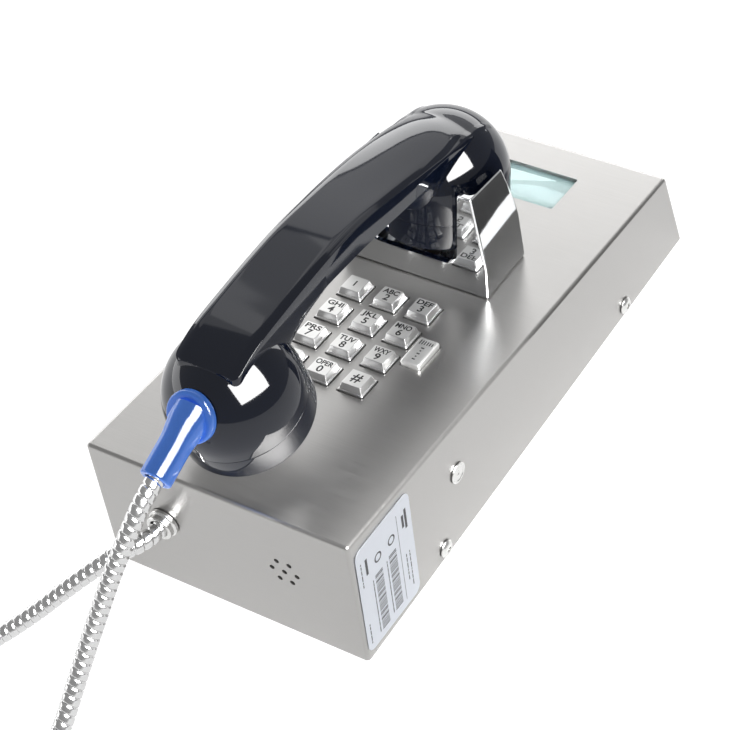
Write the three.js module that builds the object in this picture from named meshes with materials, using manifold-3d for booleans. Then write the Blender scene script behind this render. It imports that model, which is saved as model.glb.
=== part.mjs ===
// Compact stainless-steel wall payphone: wedge case, cast cradle, metal keys, handset on an armoured cord.
// Millimetres. The phone lies on its back plate: +Z points out of the wall side towards the user, +Y towards
// the display end, +X to the user's right. The origin is the middle of the back plate's wall face.

import * as THREE from 'three';
import { mergeVertices } from 'three/addons/utils/BufferGeometryUtils.js';
import { ConvexGeometry } from 'three/addons/geometries/ConvexGeometry.js';
import Module from 'manifold-3d';

const wasm = await Module();
wasm.setup();

// ---------------------------------------------------------------- driving dimensions

const GAP = 0.3; // clearance between touching pieces

// Case
const CASE_WIDTH = 128;
const CASE_LENGTH = 280;
const NEAR_HEIGHT = 70.3; // at the cord end
const FAR_HEIGHT = 46.6; // at the display end
const FAR_SETBACK = 12.4; // how far the far end's top edge leans back over its foot
const SHEET = 1.5;
const BEND_RADIUS = 1.8; // outer radius of the folded edges
const NEAR_Y = -CASE_LENGTH / 2;
const FAR_Y = CASE_LENGTH / 2;
const FACE_RUN = CASE_LENGTH - FAR_SETBACK;
const FACE_SLOPE = Math.atan2(NEAR_HEIGHT - FAR_HEIGHT, FACE_RUN);

// Everything on the face is laid out in the face's own frame: x across, s along the face from its near
// edge, h out of the face.
const FITTING_X = -1.2; // centre line of the keypad, cradle and handset

// Back plate
const PLATE = 2;
const PLATE_MARGIN = 1.9; // from the cover's outside to the plate's edge
const FLANGE_HEIGHT = 11;
const WALL_HOLE_RADIUS = 2.6;
const WALL_HOLE_X = 42;
const WALL_HOLE_Y = 112;
const CABLE_HOLE = { x: 30, y: 20, radius: 12 };

// Cover screws and side plug
const SCREW_Z = 5.3;
const SCREW_YS = [-78, 83];
const SCREW_HEAD = { radius: 4.1, height: 1.6 };
const SCREW_SHANK = { radius: 1.9, length: 5.5 };
const SIDE_PLUG = { y: -62.6, z: 37, radius: 4.9, flange: 0.6, depth: 5 };

// Label on the right side
const LABEL = { y: -118.4, z: 33.2, width: 39.5, height: 59.5, corner: 4, thickness: 0.25, tilt: 0.03 };

// Near end
const GLAND = { x: -30, z: 39.3 };
const RINGER = { x: 29.2, z: 38.2, ringRadius: 6.05, holeRadius: 1.2 };

// Keypad
const KEY_PITCH_X = 17.2;
const KEY_PITCH_S = 17.55;
const KEY_ROW_S = [134.9, 134.9 - KEY_PITCH_S, 134.9 - 2 * KEY_PITCH_S, 134.9 - 3 * KEY_PITCH_S];
const KEY_NAMES = [
  ['key_1', 'key_2', 'key_3'],
  ['key_4', 'key_5', 'key_6'],
  ['key_7', 'key_8', 'key_9'],
  ['key_star', 'key_0', 'key_hash'],
];
const KEY_LEDGE = 12.2; // square ledge just above the face
const KEY_SHOULDER = 11.2;
const KEY_TOP = 9.2;
const KEY_HOLE = 13.2;
const KEY_LEDGE_H = 0.9;
const KEY_TOP_H = 4.0;
const KEY_SKIRT = 14.2;
const KEY_FOOT_H = -4.5;
const VOLUME_KEY = { x: 29.3, s: 110.6, width: 9.4, length: 17.2, top: 2.7, skirt: 20 };

// Display
const DISPLAY = { s: 236.9, width: 58, length: 24.8 };

// Cradle, in the face frame
const CRADLE = {
  near: 155.4,
  far: 190.6,
  halfWidth: 37.4,
  farHalfWidth: 35.9,
  wall: 2.8,
  notchBottom: 13.3,
  notchHalfWidth: 22.4,
  notchTopHalfWidth: 25.2,
  notchCorner: 6.5,
  socketHalfWidth: 30.6,
  socketFloor: 3.2,
};

// Handset, in the face frame. A dome's rise is measured from the cap's sound face to its widest line.
const MOUTH = { s: 30.6, h: 18.8, tilt: 21.5, radius: 29, domeRadius: 29.2, domeRise: 17 };
const EAR = { s: 182.2, h: 15.4, tilt: -4, radius: 28.7, domeRadius: 29.4, domeRise: 22.2 };
const CAP_HEIGHT = 13; // up to the seam with the shell
const CAP_WALL = 2.4;
const GRIP_WIDTH = 30.6;
const GRIP_EAR_WIDTH = 34.4;
const GRIP_BEVEL = 1.1;
const GRIP_TAPER = 0.78;
const GRIP_NEAR_S = 5; // where the grip's back meets the mouth dome

// Strain relief on the handset and the armoured cord
const BOOT_FLANGE = { radius: 11, back: -1.2, front: 1.9 };
const BOOT_SLEEVE = { rootRadius: 8, radius: 6.35, length: 28.7 };
const CORD_RADIUS = 3.75;
const CORD_SIDES = 10;
const CORD_STEPS = 72;

// ---------------------------------------------------------------- colours and materials

function material(color, roughness, metalness, extra = {}) {
  return new THREE.MeshStandardMaterial({ color, roughness, metalness, ...extra });
}

const STEEL = material(0xb9b6b1, 0.38, 1);
const CHROME = material(0xd9dadb, 0.08, 1);
const ZINC = material(0xb4b5b4, 0.3, 1);
const SILVER_KEY = material(0xdcdcda, 0.4, 0.6);
const BLACK_GLOSS = material(0x0b0d12, 0.08, 0);
const BLUE_RUBBER = material(0x2a63d8, 0.25, 0);
const LABEL_FILM = material(0xdfe9f4, 0.35, 0);
const CLEAR = material(0xc4e0e2, 0.08, 0, { transparent: true, opacity: 0.35 });
const DISPLAY_GREY = material(0xbfd8d6, 0.5, 0);
const BOARD_GREEN = material(0x1d5a36, 0.5, 0);
const BLACK_PLASTIC = material(0x1b1c1e, 0.55, 0);
const GREY_RUBBER = material(0x6d7074, 0.8, 0);
const SPRING_STEEL = material(0x8f9194, 0.3, 1);

// ---------------------------------------------------------------- geometry helpers

function solidOf(geometry) {
  const bare = geometry.clone();
  bare.deleteAttribute('normal');
  bare.deleteAttribute('uv');
  const merged = mergeVertices(bare, 1e-4);
  const mesh = new wasm.Mesh({
    numProp: 3,
    vertProperties: new Float32Array(merged.attributes.position.array),
    triVerts: new Uint32Array(merged.index.array),
  });
  return new wasm.Manifold(mesh);
}

function geometryOf(solid) {
  const mesh = solid.getMesh();
  const geometry = new THREE.BufferGeometry();
  geometry.setAttribute('position', new THREE.BufferAttribute(new Float32Array(mesh.vertProperties), 3));
  geometry.setIndex(new THREE.BufferAttribute(new Uint32Array(mesh.triVerts), 1));
  geometry.computeVertexNormals();
  return geometry;
}

function join(...geometries) {
  const solids = geometries.map(solidOf);
  return geometryOf(solids.reduce((whole, next) => whole.add(next)));
}

function cut(base, ...cutters) {
  const solids = cutters.map(solidOf);
  return geometryOf(solids.reduce((whole, next) => whole.subtract(next), solidOf(base)));
}

// A box given by its lowest and highest corners.
function box(low, high) {
  const size = high.map((value, axis) => value - low[axis]);
  const geometry = new THREE.BoxGeometry(...size);
  return geometry.translate(...high.map((value, axis) => (value + low[axis]) / 2));
}

// A cylinder, or a cone with two radii, from z = bottom to z = top on the Z axis.
function rod(radius, bottom, top, sides = 32, topRadius = radius) {
  const geometry = new THREE.CylinderGeometry(topRadius, radius, top - bottom, sides);
  return geometry.rotateX(Math.PI / 2).translate(0, 0, (top + bottom) / 2);
}

// A solid of revolution about Z from [radius, z] points that start and end on the axis or form a loop.
function turned(points, sides = 48) {
  const profile = points.map(([radius, z]) => new THREE.Vector2(radius, z));
  return new THREE.LatheGeometry(profile, sides).rotateX(Math.PI / 2);
}

// A square frustum from z = bottom to z = top.
function frustum(bottomSide, topSide, bottom, top) {
  const toCorner = Math.SQRT1_2;
  const geometry = new THREE.CylinderGeometry(topSide * toCorner, bottomSide * toCorner, top - bottom, 4);
  return geometry.rotateY(Math.PI / 4).rotateX(Math.PI / 2).translate(0, 0, (top + bottom) / 2);
}

// A rectangle with round corners, extruded from z = bottom to z = top.
function slab(width, length, radius, bottom, top, centreX = 0, centreY = 0) {
  const shape = new THREE.Shape();
  const x = width / 2;
  const y = length / 2;
  shape.moveTo(x, -y + radius);
  shape.lineTo(x, y - radius);
  shape.absarc(x - radius, y - radius, radius, 0, Math.PI / 2);
  shape.absarc(-x + radius, y - radius, radius, Math.PI / 2, Math.PI);
  shape.absarc(-x + radius, -y + radius, radius, Math.PI, 1.5 * Math.PI);
  shape.absarc(x - radius, -y + radius, radius, 1.5 * Math.PI, 2 * Math.PI);
  const options = { depth: top - bottom, bevelEnabled: false, curveSegments: 2 };
  return new THREE.ExtrudeGeometry(shape, options).translate(centreX, centreY, bottom);
}

// A side-view outline in (y, z), extruded across x from -half to +half.
function across(shape, half, options = {}) {
  const geometry = new THREE.ExtrudeGeometry(shape, { depth: 2 * half, bevelEnabled: false, ...options });
  geometry.translate(0, 0, -half);
  const sideView = new THREE.Matrix4().makeBasis(
    new THREE.Vector3(0, 1, 0),
    new THREE.Vector3(0, 0, 1),
    new THREE.Vector3(1, 0, 0),
  );
  return geometry.applyMatrix4(sideView);
}

// Turns a geometry built along +Z so that it points along -Y, +X or -X.
const alongMinusY = (geometry) => geometry.rotateX(Math.PI / 2);
const alongPlusX = (geometry) => geometry.rotateY(Math.PI / 2);
const alongMinusX = (geometry) => geometry.rotateY(-Math.PI / 2);

function faceMatrix() {
  const tilt = new THREE.Matrix4().makeRotationX(-FACE_SLOPE);
  return tilt.setPosition(0, NEAR_Y, NEAR_HEIGHT);
}

const onFace = (geometry) => geometry.applyMatrix4(faceMatrix());

const root = new THREE.Group();
const face = new THREE.Group();
face.applyMatrix4(faceMatrix());
root.add(face);

function place(parent, name, geometry, look, x = 0, y = 0, z = 0) {
  const mesh = new THREE.Mesh(geometry, look);
  mesh.name = name;
  mesh.position.set(x, y, z);
  parent.add(mesh);
  return mesh;
}

// ---------------------------------------------------------------- case

// Side outline of the case, set in from the outside by inset and open below when it is the hollow.
function caseOutline(inset) {
  const foot = inset > 0 ? -1 : 0;
  const lean = Math.atan2(FAR_SETBACK, FAR_HEIGHT);
  const near = NEAR_Y + inset;
  const topAt = (y) => NEAR_HEIGHT - (y - NEAR_Y) * Math.tan(FACE_SLOPE) - inset / Math.cos(FACE_SLOPE);
  const farAt = (z) => FAR_Y - z * Math.tan(lean) - inset / Math.cos(lean);
  const radius = BEND_RADIUS - inset;
  const farTopZ = topAt(FAR_Y - FAR_SETBACK - inset);
  const farTopY = farAt(farTopZ);
  const shape = new THREE.Shape();
  shape.moveTo(near, foot);
  shape.lineTo(farAt(foot), foot);
  shape.lineTo(farAt(farTopZ - radius), farTopZ - radius);
  shape.quadraticCurveTo(farTopY, farTopZ, farTopY - radius, topAt(farTopY - radius));
  shape.lineTo(near + radius, topAt(near + radius));
  shape.quadraticCurveTo(near, topAt(near), near, topAt(near) - radius);
  return shape;
}

function keyCentres() {
  return KEY_NAMES.flatMap((row, r) =>
    row.map((name, c) => ({ name, x: FITTING_X + (c - 1) * KEY_PITCH_X, s: KEY_ROW_S[r] })),
  );
}

function ringHoles() {
  const spots = [[0, 0]];
  for (let k = 0; k < 6; k += 1) {
    const angle = (k * Math.PI) / 3;
    spots.push([RINGER.ringRadius * Math.cos(angle), RINGER.ringRadius * Math.sin(angle)]);
  }
  return spots.map(([dx, dz]) => [RINGER.x + dx, RINGER.z + dz]);
}

function frontCover() {
  const shell = cut(
    across(caseOutline(0), CASE_WIDTH / 2, { curveSegments: 4 }),
    across(caseOutline(SHEET), CASE_WIDTH / 2 - SHEET, { curveSegments: 4 }),
  );
  const keyHoles = keyCentres().map(({ x, s }) =>
    onFace(slab(KEY_HOLE, KEY_HOLE, 0.8, -4, 4, x, s)),
  );
  const volumeHole = onFace(
    slab(VOLUME_KEY.width + 0.7, VOLUME_KEY.length + 0.7, 0.8, -4, 4, VOLUME_KEY.x, VOLUME_KEY.s),
  );
  const displayHole = onFace(slab(DISPLAY.width, DISPLAY.length, 0.8, -4, 4, 0, DISPLAY.s));
  const hookHole = onFace(
    box([FITTING_X - 8, CRADLE.near + 6, -4], [FITTING_X + 8, CRADLE.far - 2, 4]),
  );
  const soundHoles = ringHoles().map(([x, z]) =>
    alongMinusY(rod(RINGER.holeRadius, -3, 3, 12)).translate(x, NEAR_Y, z),
  );
  const glandHole = alongMinusY(rod(5.4, -3, 3, 24)).translate(GLAND.x, NEAR_Y, GLAND.z);
  const screwHoles = [-1, 1].flatMap((side) =>
    SCREW_YS.map((y) =>
      alongPlusX(rod(SCREW_SHANK.radius + GAP, -3, 3, 16)).translate((side * CASE_WIDTH) / 2, y, SCREW_Z),
    ),
  );
  const plugHole = alongPlusX(rod(3.4, -3, 3, 24)).translate(CASE_WIDTH / 2, SIDE_PLUG.y, SIDE_PLUG.z);
  const holes = [...keyHoles, volumeHole, displayHole, hookHole, ...soundHoles, glandHole, ...screwHoles];
  place(root, 'front_cover', cut(shell, ...holes, plugHole), STEEL);
}

function backPlate() {
  const x = CASE_WIDTH / 2 - PLATE_MARGIN;
  const y = CASE_LENGTH / 2 - PLATE_MARGIN;
  const farY = y - 3.2;
  const plate = box([-x, -y, 0], [x, farY, PLATE]);
  const flanges = [-1, 1].map((side) => {
    const outer = side * x;
    const inner = side * (x - PLATE);
    return box(
      [Math.min(outer, inner), -y + 12, PLATE - 0.5],
      [Math.max(outer, inner), farY - 14, FLANGE_HEIGHT],
    );
  });
  const wallHoles = [-1, 1].flatMap((sx) =>
    [-1, 1].map((sy) => rod(WALL_HOLE_RADIUS, -1, 4, 16).translate(sx * WALL_HOLE_X, sy * WALL_HOLE_Y, 0)),
  );
  const cableHole = rod(CABLE_HOLE.radius, -1, 4, 32).translate(CABLE_HOLE.x, CABLE_HOLE.y, 0);
  const threads = [-1, 1].flatMap((side) =>
    SCREW_YS.map((sy) =>
      alongPlusX(rod(SCREW_SHANK.radius + GAP, -4, 4, 16)).translate(side * x, sy, SCREW_Z),
    ),
  );
  place(root, 'back_plate', cut(join(plate, ...flanges), ...wallHoles, cableHole, ...threads), STEEL);
}

function coverScrews() {
  const wall = CASE_WIDTH / 2;
  const profile = [
    [0, GAP - SCREW_SHANK.length],
    [SCREW_SHANK.radius, GAP - SCREW_SHANK.length],
    [SCREW_SHANK.radius, GAP],
    [SCREW_HEAD.radius, GAP],
    [SCREW_HEAD.radius, GAP + 0.5],
    [SCREW_HEAD.radius * 0.8, GAP + SCREW_HEAD.height * 0.8],
    [SCREW_HEAD.radius * 0.45, GAP + SCREW_HEAD.height],
    [0, GAP + SCREW_HEAD.height],
  ];
  const sides = { left: -1, right: 1 };
  for (const [sideName, side] of Object.entries(sides)) {
    SCREW_YS.forEach((y, k) => {
      const socket = rod(1.3, GAP + 0.5, 4, 6);
      const screw = cut(turned(profile, 24), socket);
      const turnedOut = side > 0 ? alongPlusX(screw) : alongMinusX(screw);
      const name = `cover_screw_${sideName}_${k === 0 ? 'near' : 'far'}`;
      place(root, name, turnedOut, ZINC, side * wall, y, SCREW_Z);
    });
  }
}

function sidePlug() {
  const { radius, flange, depth, y, z } = SIDE_PLUG;
  const profile = [
    [0, -depth],
    [3.1, -depth],
    [3.1, GAP],
    [radius, GAP],
    [radius, GAP + flange * 0.5],
    [radius - 0.5, GAP + flange],
    [0, GAP + flange],
  ];
  place(root, 'side_plug', alongPlusX(turned(profile, 32)), ZINC, CASE_WIDTH / 2, y, z);
}

function label() {
  const sheet = slab(LABEL.height, LABEL.width, LABEL.corner, GAP, GAP + LABEL.thickness);
  const flat = alongPlusX(sheet).rotateX(-LABEL.tilt);
  place(root, 'label', flat, LABEL_FILM, CASE_WIDTH / 2, LABEL.y, LABEL.z);
}

// ---------------------------------------------------------------- cradle and hook switch

function point(x, s, h) {
  return new THREE.Vector3(x, s, h);
}

// Both mirrored copies of each corner given as [half width, s, h].
function mirrored(corners) {
  return corners.flatMap(([x, s, h]) => [point(-x, s, h), point(x, s, h)]);
}

function cradle() {
  const c = CRADLE;
  const block = new ConvexGeometry(
    mirrored([
      [c.halfWidth, c.near, GAP],
      [c.farHalfWidth, c.far, GAP],
      [c.halfWidth - 0.2, c.near, 16.5],
      [c.farHalfWidth, c.far - 3.4, 24],
      [33.6, c.far - 4.6, 34.5],
      [31.2, c.near, 51.4],
      [31.2, c.far - 9, 50.6],
    ]),
  );
  const socket = box(
    [-c.socketHalfWidth, c.near + c.wall, c.socketFloor],
    [c.socketHalfWidth, c.far + 5, 60],
  );
  const notch = new THREE.Shape();
  const r = c.notchCorner;
  notch.moveTo(c.notchTopHalfWidth, 60);
  notch.lineTo(-c.notchTopHalfWidth, 60);
  notch.lineTo(-c.notchHalfWidth, c.notchBottom + r);
  notch.quadraticCurveTo(-c.notchHalfWidth, c.notchBottom, -c.notchHalfWidth + r, c.notchBottom);
  notch.lineTo(c.notchHalfWidth - r, c.notchBottom);
  notch.quadraticCurveTo(c.notchHalfWidth, c.notchBottom, c.notchHalfWidth, c.notchBottom + r);
  const options = { depth: c.wall + 6, bevelEnabled: false, curveSegments: 8 };
  const notchCutter = new THREE.ExtrudeGeometry(notch, options)
    .rotateX(Math.PI / 2)
    .translate(0, c.near + c.wall + 3, 0);
  const leverSlot = box([-4, c.near + 13, -1], [4, c.far - 2.5, c.socketFloor + 1]);
  place(face, 'cradle', cut(block, socket, notchCutter, leverSlot), CHROME, FITTING_X);
}

// The hook lever turns on a pin under the face; its finger stands up through the slot to the ear cap.
const HOOK = { s: 166, h: -9, arm: 19, fingerTop: 14.7, pinRadius: 1.5, bore: 1.58, halfWidth: 2.4 };

function hookSwitch() {
  const { s, h, arm, fingerTop, pinRadius, bore, halfWidth } = HOOK;

  const outline = new THREE.Shape();
  outline.absarc(s, h, 4, Math.PI / 2, 1.5 * Math.PI);
  outline.lineTo(s + arm, h - 4);
  outline.lineTo(s + arm, fingerTop - 2);
  outline.quadraticCurveTo(s + arm, fingerTop, s + arm - 2, fingerTop);
  outline.quadraticCurveTo(s + arm - 4, fingerTop, s + arm - 4, fingerTop - 2);
  outline.lineTo(s + arm - 4, h + 1);
  outline.lineTo(s, h + 4);
  const leverBody = across(outline, halfWidth, { curveSegments: 10 });
  const leverBore = alongPlusX(rod(bore, -6, 6, 24)).translate(0, s, h);
  place(face, 'hook_lever', cut(leverBody, leverBore), SPRING_STEEL, FITTING_X);

  const pin = alongPlusX(rod(pinRadius, -9.5, 9.5, 24));
  place(face, 'hook_pin', pin, SPRING_STEEL, FITTING_X, s, h);

  // U-shaped bracket screwed under the cradle: two ears carry the pin.
  const top = -SHEET - GAP;
  const bridge = box([-17, s - 9.5, top - 1.5], [17, s - 5.5, top]);
  const earBoxes = [-1, 1].map((side) =>
    box([side * 8.2 - 0.8, s - 9.5, h - 5], [side * 8.2 + 0.8, s + 6, top]),
  );
  const feet = [-1, 1].map((side) =>
    box([side * 12.6 - 4.6, s - 9.5, top - 1.5], [side * 12.6 + 4.6, s + 6, top]),
  );
  const pinBore = alongPlusX(rod(pinRadius + 0.05, -12, 12, 24)).translate(0, s, h);
  const bracket = cut(join(bridge, ...earBoxes, ...feet), pinBore);
  place(face, 'hook_bracket', bracket, ZINC, FITTING_X);

  // Torsion spring round the pin beside the lever.
  const turns = 3;
  const coil = new THREE.Curve();
  coil.getPoint = (t) => {
    const angle = t * turns * 2 * Math.PI;
    return new THREE.Vector3(3.2 + t * 3.6, s + 2.6 * Math.cos(angle), h + 2.6 * Math.sin(angle));
  };
  const wire = new THREE.Shape();
  wire.absarc(0, 0, 0.4, 0, 2 * Math.PI);
  const springOptions = { steps: 54, curveSegments: 3, bevelEnabled: false, extrudePath: coil };
  place(face, 'hook_spring', new THREE.ExtrudeGeometry(wire, springOptions), SPRING_STEEL, FITTING_X);

  // Microswitch below the free end of the lever, with its button.
  const body = box([-3.2, s + 6, h - 15], [3.2, s + 26, h - 5.6]);
  const button = box([-1.2, s + 13, h - 6], [1.2, s + 16, h - 4.4]);
  place(face, 'hook_switch', join(body, button), BLACK_PLASTIC, FITTING_X);
}

// ---------------------------------------------------------------- keypad

function keyGeometry() {
  const half = KEY_LEDGE / 2;
  const skirtHalf = KEY_SKIRT / 2;
  const base = box([-half, -half, KEY_FOOT_H], [half, half, KEY_LEDGE_H]);
  const skirt = box([-skirtHalf, -skirtHalf, KEY_FOOT_H], [skirtHalf, skirtHalf, KEY_FOOT_H + 2.2]);
  const cap = frustum(KEY_SHOULDER, KEY_TOP, KEY_LEDGE_H - 0.5, KEY_TOP_H);
  return join(base, skirt, cap);
}

function keys() {
  for (const { name, x, s } of keyCentres()) {
    place(face, name, keyGeometry(), ZINC, x, s);
  }
  const { x, s, width, length, top, skirt } = VOLUME_KEY;
  const cap = slab(width, length, 1, KEY_FOOT_H, top);
  const foot = box([-width / 2, -skirt / 2, KEY_FOOT_H], [width / 2, skirt / 2, KEY_FOOT_H + 2.2]);
  place(face, 'volume_key', join(cap, foot), SILVER_KEY, x, s);
}

function keypadInside() {
  const midS = (KEY_ROW_S[0] + KEY_ROW_S[3]) / 2;
  const width = 78;
  const length = 76;
  const centreX = 4.5;
  const frameTop = -SHEET - GAP;
  const body = slab(width, length, 2, -6.1, frameTop, centreX, midS);
  const wells = keyCentres().map(({ x, s }) => box(
    [x - KEY_SKIRT / 2 - GAP, s - KEY_SKIRT / 2 - GAP, -8],
    [x + KEY_SKIRT / 2 + GAP, s + KEY_SKIRT / 2 + GAP, 0],
  ));
  const { x, s, width: keyWidth, skirt } = VOLUME_KEY;
  const volumeWell = box(
    [x - keyWidth / 2 - GAP, s - skirt / 2 - GAP, -8],
    [x + keyWidth / 2 + GAP, s + skirt / 2 + GAP, 0],
  );
  place(face, 'keypad_frame', cut(body, ...wells, volumeWell), BLACK_PLASTIC);

  const matSheet = slab(width, length, 2, -8, -6.4, centreX, midS);
  const pads = keyCentres().map((key) => rod(4, -7, -6.05, 12).translate(key.x, key.s, 0));
  const volumePad = rod(3.5, -7, -6.05, 12).translate(x, s, 0);
  place(face, 'keypad_mat', join(matSheet, ...pads, volumePad), GREY_RUBBER);

  place(face, 'keypad_board', slab(width, length, 2, -9.9, -8.3, centreX, midS), BOARD_GREEN);
}

// ---------------------------------------------------------------- display

function display() {
  const { s, width, length } = DISPLAY;
  const top = -SHEET - GAP;
  place(face, 'lcd_window', slab(width + 5, length + 5, 1.5, top - 2, top), CLEAR, 0, s);
  place(face, 'lcd_module', slab(width + 3, length + 3, 1, top - 8, top - 2 - GAP), DISPLAY_GREY, 0, s);
  place(face, 'lcd_board', slab(width + 9, length + 9, 1.5, top - 9.9, top - 8 - GAP), BOARD_GREEN, 0, s);
}

// ---------------------------------------------------------------- electronics

function electronics() {
  const board = slab(84, 110, 3, 9, 10.6, -12, -18);
  const posts = [-1, 1].flatMap((sx) =>
    [-1, 1].map((sy) => rod(3, PLATE + GAP, 9.4, 12).translate(-12 + sx * 36, -18 + sy * 49, 0)),
  );
  const transformer = box([-44, -40, 10], [-20, -14, 24]);
  const terminals = box([-2, 18, 10], [22, 28, 20]);
  place(root, 'main_board', join(board, ...posts, transformer, terminals), BOARD_GREEN);

  const speaker = [
    [0, 0],
    [8.5, 0],
    [8.5, 7],
    [13.5, 11.5],
    [13.5, 13.2],
    [0, 13.2],
  ];
  const depth = 13.2 + SHEET + GAP;
  const ringer = alongMinusY(turned(speaker, 32));
  place(root, 'ringer', ringer, BLACK_PLASTIC, RINGER.x, NEAR_Y + depth, RINGER.z);
}

// ---------------------------------------------------------------- cord gland

function gland() {
  const boreRadius = CORD_RADIUS + 0.4;
  const outside = [
    [boreRadius, -14],
    [5, -14],
    [5, GAP],
    [7, GAP],
    [7, GAP + 1.6],
    [6.1, GAP + 2.2],
    [6.1, GAP + 4.3],
    [5.6, GAP + 4.8],
    [boreRadius + 0.5, GAP + 4.8],
    [boreRadius, GAP + 4.4],
    [boreRadius, -14],
  ];
  const body = alongMinusY(turned(outside, 40));
  place(root, 'cord_gland', body, CHROME, GLAND.x, NEAR_Y, GLAND.z);

  const hexagon = rod(9, -SHEET - GAP - 4, -SHEET - GAP, 6);
  const nut = alongMinusY(cut(hexagon, rod(5.2, -10, 2, 32)));
  place(root, 'gland_nut', nut, ZINC, GLAND.x, NEAR_Y, GLAND.z);
}

// ---------------------------------------------------------------- handset

// Puts a geometry built about Z, with z = 0 on a cap's sound face, onto that end of the handset.
function onCap(geometry, end) {
  const tilt = THREE.MathUtils.degToRad(end.tilt);
  return geometry.rotateX(tilt).translate(FITTING_X, end.s, end.h);
}

// Side outline of the grip: an arched back, rounded over both ends, and a hollow underside.
function gripOutline() {
  const shape = new THREE.Shape();
  shape.moveTo(GRIP_NEAR_S, 44);
  shape.lineTo(GRIP_NEAR_S, 56.8);
  shape.splineThru([
    new THREE.Vector2(12.6, 61.8),
    new THREE.Vector2(24.3, 66.1),
    new THREE.Vector2(44, 69.4),
    new THREE.Vector2(64, 72),
    new THREE.Vector2(84, 73.7),
    new THREE.Vector2(104, 73.6),
    new THREE.Vector2(124, 72.1),
    new THREE.Vector2(144.5, 69.6),
    new THREE.Vector2(165, 66.4),
    new THREE.Vector2(182, 62.8),
    new THREE.Vector2(192, 58),
  ]);
  shape.lineTo(192, 40);
  shape.lineTo(162, 40);
  shape.splineThru([
    new THREE.Vector2(152, 50),
    new THREE.Vector2(137, 55.6),
    new THREE.Vector2(120, 58),
    new THREE.Vector2(104, 58.6),
    new THREE.Vector2(88, 57.8),
    new THREE.Vector2(72, 54.6),
    new THREE.Vector2(58, 48),
    new THREE.Vector2(46, 38),
  ]);
  return shape;
}

// A dome over the seam of a cap, with a straight skirt below its widest line.
function dome(end) {
  const steps = 9;
  const seam = CAP_HEIGHT + GAP;
  const points = [[0, seam], [end.domeRadius, seam]];
  for (let k = 0; k < steps; k += 1) {
    const angle = (k / steps) * (Math.PI / 2);
    points.push([end.domeRadius * Math.cos(angle), end.domeRise + end.domeRadius * Math.sin(angle)]);
  }
  points.push([0, end.domeRise + end.domeRadius]);
  return onCap(turned(points, 40), end);
}

// The grip flares towards the ear end, and its sides draw in towards the underside.
function flared(geometry) {
  const positions = geometry.attributes.position;
  for (let k = 0; k < positions.count; k += 1) {
    const s = positions.getY(k);
    const onUnderside = positions.getZ(k) < 60 && s > 42 && s < 168;
    const flare = THREE.MathUtils.smoothstep(s, 95, 150);
    const widening = 1 + flare * (GRIP_EAR_WIDTH / GRIP_WIDTH - 1);
    positions.setX(k, positions.getX(k) * widening * (onUnderside ? GRIP_TAPER : 1));
  }
  return geometry;
}

function handsetShell() {
  const bevel = {
    bevelEnabled: true,
    bevelThickness: GRIP_BEVEL,
    bevelSize: GRIP_BEVEL,
    bevelOffset: -GRIP_BEVEL,
    bevelSegments: 1,
  };
  const straight = across(gripOutline(), GRIP_WIDTH / 2 - GRIP_BEVEL, { ...bevel, curveSegments: 2 });
  const grip = flared(straight).translate(FITTING_X, 0, 0);
  const whole = join(grip, dome(MOUTH), dome(EAR));
  const belowSeams = [MOUTH, EAR].map((end) => onCap(rod(45, -40, CAP_HEIGHT + GAP, 24), end));
  const pockets = [MOUTH, EAR].map((end) => onCap(rod(24.5, 0, CAP_HEIGHT + 9, 36), end));
  place(face, 'handset_shell', cut(whole, ...belowSeams, ...pockets), BLACK_GLOSS);
}

function cap(name, end) {
  const outer = end.radius;
  const inner = outer - CAP_WALL;
  const profile = [
    [0, 0],
    [outer - 1.6, 0],
    [outer - 0.4, 0.5],
    [outer, 1.8],
    [outer, CAP_HEIGHT],
    [inner, CAP_HEIGHT],
    [inner, CAP_WALL],
    [0, CAP_WALL],
  ];
  const holes = [[0, 0]];
  for (let k = 0; k < 6; k += 1) {
    holes.push([7 * Math.cos((k * Math.PI) / 3), 7 * Math.sin((k * Math.PI) / 3)]);
  }
  const drills = holes.map(([x, y]) => rod(1, -2, 5, 8).translate(x, y, 0));
  place(face, name, onCap(cut(turned(profile, 48), ...drills), end), BLACK_GLOSS);
}

function capsule(name, end) {
  const profile = [
    [0, CAP_WALL + GAP],
    [22, CAP_WALL + GAP],
    [24, CAP_WALL + 2],
    [24, CAP_WALL + 8],
    [19, CAP_WALL + 12],
    [0, CAP_WALL + 12],
  ];
  place(face, name, onCap(turned(profile, 36), end), BLACK_PLASTIC);
}

// ---------------------------------------------------------------- handset boot

// Centre of a dome's sphere in the face frame.
function domeCentre(end) {
  const tilt = THREE.MathUtils.degToRad(end.tilt);
  return point(FITTING_X, end.s - end.domeRise * Math.sin(tilt), end.h + end.domeRise * Math.cos(tilt));
}

// The flange sits on the dome, square to its surface; the sleeve leaves it drooping towards the floor.
const BOOT_RISE = THREE.MathUtils.degToRad(19); // of the flange's outward normal above the face plane
const BOOT_DROOP = THREE.MathUtils.degToRad(24); // of the sleeve below the face plane

function bootFrames() {
  const centre = domeCentre(MOUTH);
  const outward = point(0, -Math.cos(BOOT_RISE), Math.sin(BOOT_RISE));
  const seat = centre.clone().addScaledVector(outward, MOUTH.domeRadius);
  const along = point(0, -Math.cos(BOOT_DROOP), -Math.sin(BOOT_DROOP));
  return { centre, outward, seat, along };
}

// Turns a geometry from +Z onto a direction in the y-z plane and moves it to a place.
function aim(geometry, direction, origin) {
  const turn = new THREE.Quaternion().setFromUnitVectors(new THREE.Vector3(0, 0, 1), direction);
  return geometry.applyQuaternion(turn).translate(origin.x, origin.y, origin.z);
}

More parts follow.
